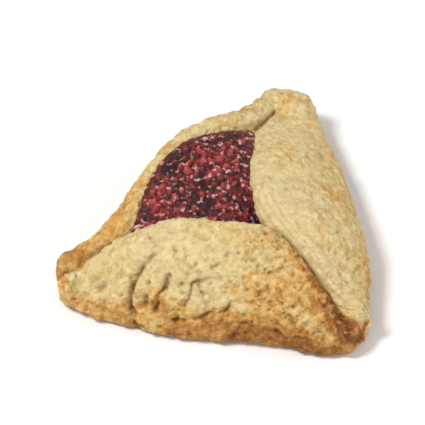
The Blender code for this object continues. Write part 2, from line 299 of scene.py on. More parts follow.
# Cracks and pits would lie too evenly, so they are pushed about by this much, over this size
TWIST = 0.0014
TWIST_SIZE = 0.0035

# Cracks come in patches of this size, and all along the foot
CRAZED_SIZE = 0.008
CRAZED_PATCHES = 0.7
CRAZED_FOOT = 0.8

SEAM_WIDTH = 0.0005
SEAM_DEPTH = 0.0012

# The dough round a wrinkle sinks with it, over more of its width, by a part of its depth
WRINKLE_SPREAD = 3.5
WRINKLE_SOFTNESS = 0.45

# Wrinkles get deeper and shallower over this size, by a random swing about the middle
UNEVEN_SIZE = 0.0032
UNEVEN_MIDDLE = 0.85
UNEVEN_SWING = 1.1
UNEVEN_LIMITS = (0.25, 1.4)

# Wrinkles and brown edges wander along and up a fold by these amounts
WANDERS = (
    (Lumps(0.0024, 0.0006, 11), Lumps(0.0024, 0.0006, 12)),
    (Lumps(0.0009, 0.0003, 14), Lumps(0.0009, 0.0003, 15)),
)

# The rolled rim of the side fold next to the front corner, and the fine wavy lines along it,
# which are a sine of so many radians from the foot to the rim
LIP_ALONG = (0.32, 0.50)
LIP_UP = (0.88, 0.98)
LIP_HEIGHT = 0.00045
LIP_LINE_DEPTH = 0.00026
LIP_LINES = 90
LIP_WAVES = 1.5
LIP_WAVE_SIZE = 0.004

# The right part of the front fold baked into blisters, with more crumb and deeper pores
BLISTERS_BEGIN = (0.48, 0.72)
BLISTERS_END = (0.95, 1.12)
BLISTERS_UP = (0.0, 0.3)
BLISTER_CRUMBS = 0.5
BLISTER_PORES = 0.35

# How much of the front fold's crumb and pits the smoother folds behind it have
CALM = 0.80

# The underside is nearly flat, with this part of the relief taken out
FLATTENED = 0.85

# The wrinkles and the brown of one fold fade out over this width where the next fold begins
FOLD_BORDER = 0.0006

# The relief lies this much lower than the solids' own skin, so that its lumps don't stand far out of it
RELIEF_SINK = 0.0001

# Brown of the underside, the foot, random patches and what stands out, more so among blisters,
# and how ragged the edges of the brown are
UNDERSIDE_BROWN = 0.55
FOOT_BROWN = 0.22
FOOT_BROWN_HEIGHTS = (0.0005, 0.0055)
PATCH_BROWN = 0.14
PATCH_SIZE = 0.009
RAISED_BROWN = 0.12
RAISED_HEIGHTS = (0.0001, 0.0006)
BLISTER_BROWN = 0.24
RAGGED = 0.5
RAGGED_SIZE = 0.004

# The relief of the jam where it shows: soft swells, bits of fruit and grains
JAM_SWELLS = Lumps(0.0045, 0.00040, 1)
JAM_FRUIT = Lumps(0.0015, 0.00110, 2)
JAM_FRUIT_SINK = 0.0003
JAM_GRAINS = Lumps(0.0009, 0.00050, 3)
JAM_SHOWS = (0.010, 0.013)

# The jam's painted shade and highlight: its colour runs from dark to bright between these heights of its
# relief
JAM_HEIGHTS = (-0.0005, 0.0006)


# The form: folds, floor and pinched corners


def bow_middle(first, last):
    """Middle of the wide arc that runs along a side and touches both corner circles."""
    first_reach = first.bow - first.radius
    last_reach = first.bow - last.radius
    chord = last.middle - first.middle
    span = chord.length
    along = (first_reach**2 - last_reach**2 + span**2) / (2 * span)
    across = math.sqrt(first_reach**2 - along**2)
    forward = chord / span
    inward = Vector((-forward.y, forward.x))
    return first.middle + forward * along + inward * across


def heading(vector):
    return math.atan2(vector.y, vector.x)


def direction(angle):
    return Vector((math.cos(angle), math.sin(angle)))


def foot_path(fold):
    """Places along a fold's foot.

    Each is a point, its outward direction, its part of the way along, and the distances from both tips."""
    middle = bow_middle(fold.first, fold.last)
    start = heading(fold.first.middle - middle)
    sweep = (heading(fold.last.middle - middle) - start) % math.tau
    first_wrap = math.radians(fold.first_end.wrap)
    last_wrap = math.radians(fold.last_end.wrap)
    arcs = [
        (fold.first.middle, fold.first.radius, start - first_wrap, first_wrap),
        (middle, fold.first.bow, start, sweep),
        (fold.last.middle, fold.last.radius, start + sweep, last_wrap),
    ]
    lengths = [radius * turn for _, radius, _, turn in arcs]
    total = sum(lengths)
    places = []
    for distance in np.linspace(0, total, round(total / STEP_ALONG) + 1):
        number = 0
        on_arc = distance
        while number < 2 and on_arc > lengths[number]:
            on_arc -= lengths[number]
            number += 1
        centre, radius, angle, _ = arcs[number]
        outward = direction(angle + on_arc / radius)
        part = (0.0, on_arc / lengths[1], 1.0)[number]
        places.append((centre + outward * radius, outward, part, distance, total - distance))
    return places


def ease(part, reach, power=1.0):
    """From 0 at 0 to 1 at the reach, ever more gently."""
    return math.sin(math.pi / 2 * min(part / reach, 1)) ** power


def rim(fold, part):
    """Inset and height of a fold's rim at a part of the way along."""
    first, last = fold.first_end, fold.last_end
    narrow = min(
        first.inset + (fold.inset - first.inset) * ease(part, first.inset_reach, first.inset_ease),
        last.inset + (fold.inset - last.inset) * ease(1 - part, last.inset_reach, last.inset_ease),
    )
    height = min(
        first.height + (fold.crest - first.height) * ease(part, first.height_reach),
        last.height + (fold.crest - last.height) * ease(1 - part, last.height_reach),
    )
    return narrow - fold.opening * math.sin(math.pi * part) ** 4, height


def spine(fold, part, thickness, lowered, up):
    """Middle of the dough at a place on the fold, as (inset, height), and the way out across it."""
    inset, height = rim(fold, part)
    low = np.array([thickness / 2, thickness / 2 + FOOT_LIFT])
    high = low + (np.array([inset, height]) - thickness - [0, FOOT_LIFT]) * lowered
    turn = up * math.pi / 2
    curve = np.array([1 - math.cos(turn), math.sin(turn)])
    slope = np.array([math.sin(turn), math.cos(turn)]) * math.pi / 2
    way = up + (curve - up) * fold.roundness
    rise = (high - low) * (1 + (slope - 1) * fold.roundness)
    across = np.array([-rise[1], rise[0]]) / np.linalg.norm(rise)
    return low + (high - low) * way, across


def cap(centre, across, half):
    """Half a turn of points round the end of a sheet, from one side to the other."""
    onwards = np.array([across[1], -across[0]])
    turns = np.linspace(0, math.pi, STEPS_ROUND + 1)[1:-1]
    return [centre + half * (across * math.cos(turn) + onwards * math.sin(turn)) for turn in turns]


def section(fold, part, thickness, lowered, grow):
    """Closed loop of (inset, height) pairs: up the outside, over the rim, down and round the foot."""
    half = thickness / 2 + grow
    heights = np.linspace(0, 1, STEPS_UP + 1)
    spines = [spine(fold, part, thickness, lowered, up) for up in heights]
    loop = [centre + across * half for centre, across in spines]
    top, top_across = spines[-1]
    loop += cap(top, top_across, half)
    loop += [centre - across * half for centre, across in reversed(spines)]
    foot, foot_across = spines[0]
    loop += cap(foot, -foot_across, half)
    return loop


def link(name, mesh):
    """An object in the scene from a finished mesh."""
    data = bpy.data.meshes.new(name)
    mesh.to_mesh(data)
    mesh.free()
    solid = bpy.data.objects.new(name, data)
    bpy.context.scene.collection.objects.link(solid)
    return solid


def loft(name, rings):
    """A closed solid through rings of points, with a flat cap on the first and the last."""
    mesh = bmesh.new()
    rows = [[mesh.verts.new(point) for point in ring] for ring in rings]
    for row, beyond in zip(rows, rows[1:]):
        for number in range(len(row)):
            after = (number + 1) % len(row)
            mesh.faces.new((row[number], row[after], beyond[after], beyond[number]))
    mesh.faces.new(reversed(rows[0]))
    mesh.faces.new(rows[-1])
    bmesh.ops.recalc_face_normals(mesh, faces=mesh.faces)
    return link(name, mesh)


def rounded(part):
    """A quarter circle's height: 0 at 0, and 1 from 1 on."""
    return math.sqrt(1 - (1 - min(part, 1)) ** 2)


def fold_solid(name, fold, grow):
    """The thick sheet of one fold. Round the corners it gets lower, down to a thin tip."""
    first_wrap = math.radians(fold.first_end.wrap) * fold.first.radius
    last_wrap = math.radians(fold.last_end.wrap) * fold.last.radius
    rings = []
    for point, outward, part, distance, left in foot_path(fold):
        near_tip = min(distance / TIP_LENGTH, left / TIP_LENGTH, 1)
        thin = TIP_THICKNESS + (1 - TIP_THICKNESS) * rounded(near_tip)
        thinned = DOUGH * (1 - fold.thinning * math.sin(math.pi * part) ** 4)
        thickness = (thinned + fold.bunch * math.sin(math.tau * part) ** 2) * thin
        lowered = TIP_HEIGHT + (1 - TIP_HEIGHT) * rounded(min(distance / first_wrap, left / last_wrap))
        shift = TIP_DIVE * (1 - near_tip)
        shift += fold.first_end.tuck * max(1 - part / TUCK_REACH, 0)
        shift += fold.last_end.tuck * max(1 - (1 - part) / TUCK_REACH, 0)
        ring = []
        for inset, height in section(fold, part, thickness, lowered, grow):
            sway = fold.sway * math.sin(math.tau * part) * (1 - height / TOP)
            place = point - outward * (inset + shift - sway)
            ring.append((place.x, place.y, height))
        rings.append(ring)
    return loft(name, rings)


def outline(corners, inset=0.0):
    """The rounded triangle round three corners seen from above, moved in by the inset."""
    points = []
    for number, corner in enumerate(corners):
        after = corners[(number + 1) % 3]
        middle = bow_middle(corner, after)
        start = heading(corner.middle - middle)
        sweep = (heading(after.middle - middle) - start) % math.tau
        came_from = heading(corner.middle - bow_middle(corners[number - 1], corner))
        corner_sweep = (start - came_from) % math.tau
        arcs = [(corner.middle, corner.radius, came_from, corner_sweep), (middle, corner.bow, start, sweep)]
        for centre, radius, angle, turn in arcs:
            pieces = round(radius * turn / STEP_ALONG)
            for piece in range(pieces):
                points.append(centre + direction(angle + turn * piece / pieces) * (radius - inset))
    return points


def even_loop(points, count):
    """The same closed loop with its points evenly spaced."""
    closed = np.array([(point.x, point.y) for point in [*points, points[0]]])
    lengths = np.concatenate([[0], np.cumsum(np.linalg.norm(np.diff(closed, axis=0), axis=1))])
    places = np.linspace(0, lengths[-1], count, endpoint=False)
    xs = np.interp(places, lengths, closed[:, 0])
    ys = np.interp(places, lengths, closed[:, 1])
    return [Vector(pair) for pair in zip(xs, ys)]


def floor_solid(grow):
    """The floor of the pocket: the outline with a rounded edge, a little inside the feet of the folds."""
    half = FLOOR / 2
    rings = []
    for turn in np.linspace(-math.pi / 2, math.pi / 2, STEPS_ROUND + 1):
        inset = FLOOR_INSET + half - (half + grow) * math.cos(turn)
        height = half + (half + grow) * math.sin(turn)
        rings.append([(point.x, point.y, height) for point in outline(BASE, inset)])
    return loft("floor", rings)


def lump_solid(corner, height, grow):
    """The pinched dough that fills the inside of a corner: a dome with a short underside."""
    radius = corner.radius - LUMP_INSET + grow
    waist = height * LUMP_WAIST
    above = height - waist + grow
    below = waist - 2 * FOOT_LIFT + grow
    mesh = bmesh.new()
    bmesh.ops.create_uvsphere(mesh, u_segments=LUMP_SIDES[0], v_segments=LUMP_SIDES[1], radius=1)
    for vertex in mesh.verts:
        place = vertex.co.copy()
        vertex.co.xy = corner.middle + place.xy * radius
        vertex.co.z = waist + place.z * (above if place.z > 0 else below)
    return link("lump", mesh)


def dough_solids(grow=0.0):
    """The three folds, the floor and the three pinched corners, each grown on all sides."""
    solids = [fold_solid(name, fold, grow) for name, fold in FOLDS.items()]
    solids.append(floor_solid(grow))
    solids += [lump_solid(corner, height, grow) for corner, height in zip(BASE, LUMP_HEIGHTS)]
    return solids


# Fine skins made from the form


def joined(solids):
    """One object of several, whose skins may cross."""
    mesh = bmesh.new()
    for solid in solids:
        mesh.from_mesh(solid.data)
        bpy.data.objects.remove(solid)
    return link("joined", mesh)


def applied(solid):
    """Replaces an object's mesh by what its modifiers make of it."""
    evaluated = solid.evaluated_get(bpy.context.evaluated_depsgraph_get())
    data = bpy.data.meshes.new_from_object(evaluated)
    solid.modifiers.clear()
    solid.data = data
    return solid


def even_skin(solid, grain, smoothings):
    """Turns crossing skins into one even skin of small faces, and rounds off its steps."""
    remesh = solid.modifiers.new("even", "REMESH")
    remesh.mode = "VOXEL"
    remesh.voxel_size = grain
    smooth = solid.modifiers.new("smooth", "SMOOTH")
    smooth.factor = 0.5
    smooth.iterations = smoothings
    return applied(solid)


def keep_largest(solid):
    """Keeps the outer skin of a solid, without loose scraps or the skins of sealed hollows."""
    mesh = bmesh.new()
    mesh.from_mesh(solid.data)
    unseen = set(mesh.faces)
    groups = []
    while unseen:
        group = set()
        front = [unseen.pop()]
        while front:
            face = front.pop()
            group.add(face)
            for edge in face.edges:
                for near in edge.link_faces:
                    if near in unseen:
                        unseen.remove(near)
                        front.append(near)
        groups.append(group)
    groups.sort(key=len, reverse=True)
    scraps = [face for group in groups[1:] for face in group]
    bmesh.ops.delete(mesh, geom=scraps, context="FACES")
    mesh.to_mesh(solid.data)
    mesh.free()


def warp(solid):
    """Pushes a solid's points about smoothly, as hands do. The underside stays flat."""
    for vertex in solid.data.vertices:
        push = noise.noise_vector(vertex.co / WARP_SIZE) * WARP
        push.z *= min(max(vertex.co.z, 0) / FLOOR, 1)
        vertex.co += push


def part_between(place, start, end):
    line = end - start
    return min(max((place - start).dot(line) / line.length_squared, 0), 1)


# Where points lie on the folds


class FoldMap:
    """Tells where on one fold a point lies: how far off, how far along its foot and how far up its outside.

    Along is 0 and 1 where the corners begin, and goes on round them. Up is 0 at the foot and 1 at the rim,
    and goes on over the rim to the inside."""

    def __init__(self, name, fold):
        self.fold = fold
        solid = fold_solid(name, fold, 0.0)
        self.points = [vertex.co.copy() for vertex in solid.data.vertices]
        faces = [tuple(face.vertices) for face in solid.data.polygons]
        bpy.data.objects.remove(solid)
        self.tree = BVHTree.FromPolygons(self.points, faces)
        path = foot_path(fold)
        self.round = len(self.points) // len(path)
        first_wrap = math.radians(fold.first_end.wrap) * fold.first.radius
        last_wrap = math.radians(fold.last_end.wrap) * fold.last.radius
        self.length = path[-1][3] - first_wrap - last_wrap
        self.alongs = [(place[3] - first_wrap) / self.length for place in path]

    def where(self, place, index):
        """How far along and up a place on one of the faces lies."""
        ring, number = divmod(index, self.round)
        if ring > len(self.alongs) - 2:
            return self.alongs[0 if number == 0 else -1], 0.0
        corner = self.points[ring * self.round + number]
        higher = self.points[ring * self.round + (number + 1) % self.round]
        further = self.points[(ring + 1) * self.round + number]
        up = number + part_between(place, corner, higher)
        if number > self.round - STEPS_ROUND:
            up -= self.round
        step = self.alongs[ring + 1] - self.alongs[ring]
        return self.alongs[ring] + step * part_between(place, corner, further), up / STEPS_UP

    def find(self, place):
        """How far along and up the fold the nearest point to a place is, and how far off that point is."""
        spot, _, index, away = self.tree.find_nearest(place)
        along, up = self.where(spot, index)
        return along, up, away


class Skin:
    """Where a mesh's points lie on each fold, how far off it is, and how far off the second nearest fold is.

    The wobble moves the places, so that wrinkles and brown edges run unevenly."""

    def __init__(self, solid):
        places = [vertex.co.copy() for vertex in solid.data.vertices]
        self.along = {}
        self.up = {}
        self.away = {}
        self.scale = {}
        for name, fold in FOLDS.items():
            fold_map = FoldMap(name, fold)
            found = [fold_map.find(place) for place in places]
            self.along[name], self.up[name], self.away[name] = np.array(found).T
            self.scale[name] = np.array([fold_map.length, fold.crest])
        self.next = np.sort(list(self.away.values()), axis=0)[1]
        self.uneven = grain(places, UNEVEN_SIZE, seed=13)
        self.wobble = sum(np.stack([lumps(places, kind) for kind in pair], axis=1) for pair in WANDERS)

    def on(self, name):
        """1 on a fold and 0 on the others, with a narrow soft border."""
        others = [away for other, away in self.away.items() if other != name]
        return np.clip(0.5 + (np.minimum(*others) - self.away[name]) / FOLD_BORDER, 0, 1)

    def distance(self, name, path):
        """How far each point is from a path through places on a fold, in metres."""
        places = np.stack([self.along[name], self.up[name]], axis=1) * self.scale[name] + self.wobble
        stops = np.array(path) * self.scale[name]
        nearest = np.ones(len(places))
        for start, end in zip(stops, stops[1:]):
            line = end - start
            parts = np.clip((places - start) @ line / (line @ line), 0, 1)
            away = np.linalg.norm(places - start - parts[:, None] * line, axis=1)
            nearest = np.minimum(nearest, away)
        return nearest


# Relief and browning of the dough


def grain(places, size, seed):
    """Smooth random numbers, about -1 to 1, that change over a size."""
    offset = Vector((seed, 2 * seed + 0.5, 3 * seed + 0.25))
    return np.array([noise.noise(place / size + offset) for place in places])


def lumps(places, kind):
    """How far each point stands out by the lumps of one kind, in metres."""
    return grain(places, kind.size, kind.seed) * kind.height


def rises(values, low, high):
    """0 below the low value and 1 above the high one, with a smooth change between them."""
    part = np.clip((values - low) / (high - low), 0, 1)
    return part * part * (3 - 2 * part)


def falls(values, low, high):
    """1 below the low value and 0 above the high one, with a smooth change between them."""
    return rises(-values, -high, -low)


def cracks(places, kind):
    """Depth of cracks along the borders of random cells."""
    gaps = []
    for place in places:
        near = noise.voronoi(place / kind.spacing)[0]
        gaps.append(near[1] - near[0])
    return np.clip(1 - np.array(gaps) / kind.width, 0, 1) * kind.depth


def pits(places, kind):
    """Depth of round pits, one in each random cell."""
    nearest = np.array([noise.voronoi(place / kind.spacing)[0][0] for place in places])
    return np.clip(1 - nearest / kind.width, 0, 1) ** PIT_POWER * kind.depth


def creases(skin, spread):
    """Depth of all the named wrinkles in metres, here deeper and there shallower.

    Each is as wide as its own width times the spread."""
    depth = np.zeros(len(skin.next))
    for name, fold in FOLDS.items():
        on_fold = skin.on(name)
        for wrinkle in fold.wrinkles:
            away = skin.distance(name, wrinkle.path) / (wrinkle.width * spread)
            depth = np.maximum(depth, on_fold * wrinkle.depth * np.exp(-(away**2)))
    return depth * np.clip(UNEVEN_MIDDLE + UNEVEN_SWING * skin.uneven, *UNEVEN_LIMITS)


def blistered(skin):
    """1 on the right part of the front fold, which baked into fine blisters, and 0 elsewhere."""
    along = skin.along["front"]
    across = rises(along, *BLISTERS_BEGIN) * falls(along, *BLISTERS_END)
    return skin.on("front") * across * rises(skin.up["front"], *BLISTERS_UP)


def seams(skin):
    """1 where one fold lies against the next, and 0 away from there."""
    return np.exp(-((skin.next / SEAM_WIDTH) ** 2))


def lip(skin):
    """1 on the rolled rim of the side fold near the front corner, and 0 elsewhere."""
    return skin.on("side") * rises(skin.up["side"], *LIP_UP) * falls(skin.along["side"], *LIP_ALONG)


def rim_lines(skin, places):
    """-1 to 1, in fine lines that run along the rim."""
    return np.sin(skin.up["side"] * LIP_LINES + grain(places, LIP_WAVE_SIZE, seed=7) * LIP_WAVES)


def near_foot(places, heights):
    """1 below the first of two heights and 0 above the second."""
    return falls(np.array([place.z for place in places]), *heights)


def facing_down(normals):
    """1 on the underside, and 0 on what faces sideways or up."""
    return rises(-normals[:, 2], 0.5, 0.9)


def calmed(skin):
    """1 on the front fold, and less on the smoother folds behind it."""
    return CALM + (1 - CALM) * skin.on("front")


def hollows(skin, places):
    """How deep the baked dough is cracked, pitted, wrinkled and parted at its seams, in metres."""
    twisted = [place + noise.noise_vector(place / TWIST_SIZE) * TWIST for place in places]
    crazed = rises(grain(places, CRAZED_SIZE, seed=5), -0.1, 0.5) * CRAZED_PATCHES
    crazed += near_foot(places, FOOT_HEIGHTS) * CRAZED_FOOT
    cracked = cracks(twisted, CRACKS) * np.minimum(crazed, 1)
    pores = pits(places, PORES) * (1 + BLISTER_PORES * blistered(skin))
    crumb = np.maximum.reduce([cracked, pores, pits(twisted, PITS)]) * calmed(skin)
    lines = lip(skin) * (1 - rim_lines(skin, places)) * LIP_LINE_DEPTH
    return np.maximum.reduce([crumb, lines, creases(skin, 1.0), seams(skin) * SEAM_DEPTH])


def dough_relief(skin, places, sunk):
    """How far each point of the baked dough stands out: lumps and crumb, less what is sunk."""
    relief = lumps(places, KNOBS)
    relief += lumps(places, CRUMBS) * (1 + BLISTER_CRUMBS * blistered(skin))
    relief += lumps(places, GRAINS)
    relief *= calmed(skin)
    relief += lumps(places, SWELLS)
    flat = [Vector((place.x, place.y, 0)) for place in places]
    relief += lumps(flat, FOOT_BUMPS) * near_foot(places, FOOT_HEIGHTS)
    relief += lip(skin) * LIP_HEIGHT
    relief -= creases(skin, WRINKLE_SPREAD) * WRINKLE_SOFTNESS
    return relief - sunk - RELIEF_SINK


def toasting(skin, places, normals, relief):
    """How brown each point of the dough is, from 0 to about 1."""
    brown = facing_down(normals) * UNDERSIDE_BROWN
    ragged = 1 + RAGGED * grain(places, RAGGED_SIZE, seed=8)
    for toast in TOASTED:
        away = skin.distance(toast.fold, toast.path) / toast.reach
        toasted = toast.strength * np.exp(-((away * ragged) ** 2))
        brown = np.maximum(brown, toasted * skin.on(toast.fold))
    brown += near_foot(places, FOOT_BROWN_HEIGHTS) * FOOT_BROWN
    brown += rises(grain(places, PATCH_SIZE, seed=9), -0.2, 0.7) * PATCH_BROWN
    brown += rises(relief, *RAISED_HEIGHTS) * (RAISED_BROWN + BLISTER_BROWN * blistered(skin))
    return brown


def shape_skin(solid, normals, relief, values):
    """Moves each point of a skin along its normal by its relief, and keeps named values for its colour."""
    for vertex, normal, height in zip(solid.data.vertices, normals, relief):
        vertex.co += Vector(normal) * height
        vertex.co.z = max(vertex.co.z, 0.0)
    for name, numbers in values.items():
        layer = solid.data.attributes.new(name, "FLOAT", "POINT")
        layer.data.foreach_set("value", np.clip(numbers, 0, 1))
    for face in solid.data.polygons:
        face.use_smooth = True


def points_and_normals(solid):
    places = [vertex.co.copy() for vertex in solid.data.vertices]
    normals = np.array([vertex.normal for vertex in solid.data.vertices])
    return places, normals


def pastry_skin():
    """The folded dough as one fine skin with its relief and browning."""
    body = even_skin(joined(dough_solids()), DOUGH_GRAIN, DOUGH_SMOOTHINGS)
    keep_largest(body)
    skin = Skin(body)
    warp(body)
    places, normals = points_and_normals(body)
    sunk = hollows(skin, places)
    relief = dough_relief(skin, places, sunk) * (1 - facing_down(normals) * FLATTENED)
    brown = toasting(skin, places, normals, relief)
    shape_skin(body, normals, relief, {
        "toast": brown,
        "sunk": sunk / DEEPEST,
        "seam": seams(skin),
        "lip": lip(skin),
        "blister": blistered(skin),
    })
    body.name = "pastry_skin"
    return body


# The jam


def between(first, last, part):
    """Corners part of the way from the first set to the last."""
    corners = []
    for start, end in zip(first, last):
        radius = start.radius + (end.radius - start.radius) * part
        bow = start.bow + (end.bow - start.bow) * part
        corners.append(Corner(start.middle.lerp(end.middle, part), radius, bow))
    return corners


def jam_top(place):
    """Height of the jam's domed top over a place. It sags towards the corners."""
    return JAM_TOP - JAM_SAG * ((place - JAM_MIDDLE).length / JAM_REACH) ** 2


def jam_rings():
    """Loops of points round the jam, from its floor up the walls and then in over its top."""
    steps = [(rise, math.sin(rise * math.pi / 2), 1.0) for rise in np.linspace(0, JAM_BRIM, JAM_WALL_RINGS)]
    for turn in np.linspace(0, math.pi / 2, JAM_TOP_RINGS + 2)[1:-1]:
        size = math.cos(turn)
        rise = JAM_BRIM + (1 - JAM_BRIM) * rounded((1 - size) / JAM_BRIM_WIDTH)
        steps.append((rise, 1.0, size))
    floor = even_loop(outline(POCKET), JAM_POINTS)
    rings = [[(point.x, point.y, JAM_FLOOR) for point in floor]]
    for rise, narrowed, size in steps:
        edge = even_loop(outline(between(POCKET, MOUTH, narrowed)), JAM_POINTS)
        middle = sum(edge, Vector((0, 0))) / JAM_POINTS
        ring = []
        for point in edge:
            place = middle + (point - middle) * size
            height = JAM_SHOULDER + (jam_top(place) - JAM_SHOULDER) * rise
            ring.append((place.x, place.y, height))
        rings.append(ring)
    return rings


def clearance(solid):
    """How far each point of a solid is from the nearest fold."""
    maps = [FoldMap(name, fold) for name, fold in FOLDS.items()]
    nearest = []
    for vertex in solid.data.vertices:
        nearest.append(min(fold_map.tree.find_nearest(vertex.co)[3] for fold_map in maps))
    return np.array(nearest)


def jam_relief(places, normals, clear):
    """How far each point of the jam stands out, where it shows, and less so near the dough."""
    heights = np.array([place.z for place in places])
    shown = rises(normals[:, 2], 0.3, 0.7) * rises(heights, *JAM_SHOWS)
    shown *= JAM_EDGE_RELIEF + (1 - JAM_EDGE_RELIEF) * rises(clear, 0.0, JAM_EDGE)
    relief = lumps(places, JAM_SWELLS)
    relief += np.abs(lumps(places, JAM_FRUIT)) - JAM_FRUIT_SINK
    relief += lumps(places, JAM_GRAINS)
    return relief * shown


def jam_skin():
    """The jam that fills the pocket, as one fine lumpy skin."""
    body = loft("jam", jam_rings())
    group = bpy.data.collections.new("dough")
    solids = dough_solids(-JAM_BITE)
    for solid in solids:
        group.objects.link(solid)
    cut = body.modifiers.new("cut", "BOOLEAN")
    cut.operand_type = "COLLECTION"
    cut.collection = group
    cut.operation = "DIFFERENCE"
    cut.solver = "MANIFOLD"
    applied(body)
    for solid in solids:
        bpy.data.objects.remove(solid)
    bpy.data.collections.remove(group)
    even_skin(body, JAM_GRAIN, JAM_SMOOTHINGS)
    keep_largest(body)
    clear = clearance(body)
    warp(body)
    places, normals = points_and_normals(body)
    relief = jam_relief(places, normals, clear)
    # The relief's height is kept for the jam's painted shade in its hollows and painted highlights on its
    # lumps
    shape_skin(body, normals, relief, {"high": rises(relief, *JAM_HEIGHTS)})
    body.name = "jam"
    return body


# Materials


class Nodes:
    """A material's node tree, built one node at a time."""

    def __init__(self, name):
        self.material = bpy.data.materials.new(name)
        self.material.use_nodes = True
        self.tree = self.material.node_tree
        self.shader = self.tree.nodes["Principled BSDF"]

    def node(self, kind, settings=None, **inputs):
        made = self.tree.nodes.new(kind)
        for name, value in (settings or {}).items():
            setattr(made, name, value)
        for name, value in inputs.items():
            self.put(made.inputs[name.replace("_", " ")], value)
        return made

    def put(self, socket, value):
        if isinstance(value, bpy.types.NodeSocket):
            self.tree.links.new(value, socket)
        else:
            socket.default_value = value

    def surface(self, name, value):
        """Sets one of the shader's own inputs."""
        self.put(self.shader.inputs[name], value)

    def math(self, operation, first, second):
        made = self.tree.nodes.new("ShaderNodeMath")
        made.operation = operation
        self.put(made.inputs[0], first)
        self.put(made.inputs[1], second)
        return made.outputs[0]

    def times(self, first, second):
        return self.math("MULTIPLY", first, second)

    def plus(self, first, second):
        return self.math("ADD", first, second)

    def attribute(self, name):
        return self.node("ShaderNodeAttribute", {"attribute_name": name}).outputs["Fac"]

    def noise(self, size, detail=2.0, roughness=0.5):
        """Random cloudiness of a size in metres, from 0 to 1."""
        place = self.node("ShaderNodeTexCoord").outputs["Object"]
        inputs = {"Vector": place, "Scale": 1 / size, "Detail": detail, "Roughness": roughness}
        return self.node("ShaderNodeTexNoise", **inputs).outputs["Fac"]

    def mix(self, part, first, second):
        made = self.tree.nodes.new("ShaderNodeMix")
        made.data_type = "RGBA"
        for socket, value in zip((made.inputs[0], made.inputs[6], made.inputs[7]), (part, first, second)):
            self.put(socket, value)
        return made.outputs[2]

    def tint(self, colour, where, strength, other):
        """Brings another colour in by a strength, where a value says so."""
        return self.mix(where, colour, self.mix(strength, colour, (*linear(*other), 1)))

    def step(self, value, low, high):
        """0 at the low value and 1 at the high one, also where they are the other way round."""
        made = self.node("ShaderNodeMapRange", {"interpolation_type": "SMOOTHSTEP"}, Value=value)
        made.inputs["From Min"].default_value = low
        made.inputs["From Max"].default_value = high
        return made.outputs["Result"]

    def ramp(self, value, stops):
        """Colour by a value, through stops that are each (value, colour)."""
        made = self.node("ShaderNodeValToRGB", Fac=value)
        ramp = made.color_ramp
        while len(ramp.elements) < len(stops):
            ramp.elements.new(0.5)
        for element, (place, colour) in zip(ramp.elements, stops):
            element.position = place
            element.color = (*linear(*colour), 1)
        return made.outputs["Color"]

    def bump(self, height, strength, distance):
        made = self.node("ShaderNodeBump", Height=height, Strength=strength, Distance=distance)
        self.surface("Normal", made.outputs["Normal"])


def linear(red, green, blue):
    """A colour as seen on a screen, each 0 to 255, as the light it stands for."""
    return tuple((value / 255 / 12.92) if value < 11 else ((value / 255 + 0.055) / 1.055) ** 2.4
                 for value in (red, green, blue))


# Colours as a screen shows them, each 0 to 255
BAKED = [
    (0.00, (226, 205, 151)),
    (0.20, (224, 194, 131)),
    (0.40, (221, 168, 88)),
    (0.60, (198, 138, 72)),
    (0.82, (152, 91, 42)),
    (1.00, (118, 64, 28)),
]
DULL = (160, 122, 62)
PALE_CRUMB = (255, 238, 186)
GOLDEN_CRUMB = (240, 196, 112)
SCORCHED = (116, 72, 30)
# The rolled rim's warmer tone, partly painted light against the shadow cast on it
ROLLED_RIM_TONE_AND_LIGHT = (252, 228, 172)
# Painted shade in the dough's cracks, pits, wrinkles and rim lines
HOLLOW_SHADE = (108, 68, 26)
# Painted shade in the crevice where one fold lies against the next
SEAM_SHADE = (96, 54, 22)
# Jam colours from painted shade in the hollows to painted highlights on the lumps
JAM_SHADE_TO_HIGHLIGHT = [
    (0.27, (46, 3, 8)),
    (0.42, (88, 7, 13)),
    (0.60, (142, 25, 29)),
    (0.85, (192, 78, 74)),
]
# Pale fruit bits, which also stand in for painted glints on the jam
FRUIT_BIT_AND_GLINT = (232, 168, 158)
GROUND_DARK = (237.39, 237.39, 237.39)
GROUND_LIGHT = (245.81, 245.81, 245.81)


def crumb_colours(nodes, colour, brown):
    """Pale flecks on pale dough, golden flecks on brown dough, and small scorched spots."""
    crumb = nodes.noise(0.0015, 3.0, 0.6)
    flecks = nodes.step(crumb, 0.50, 0.62)
    spots = nodes.step(crumb, 0.49, 0.40)
    speckled = nodes.plus(nodes.times(nodes.attribute("blister"), 0.70), 0.30)
    on_pale = nodes.step(brown, 0.75, 0.25)
    on_brown = nodes.times(speckled, nodes.step(brown, 0.25, 0.75))
    scorched = nodes.times(nodes.times(spots, speckled), nodes.step(brown, -0.20, 0.60))
    colour = nodes.tint(colour, nodes.times(flecks, on_pale), 0.30, PALE_CRUMB)
    colour = nodes.tint(colour, nodes.times(flecks, on_brown), 0.42, GOLDEN_CRUMB)
    return nodes.tint(colour, scorched, 0.50, SCORCHED)


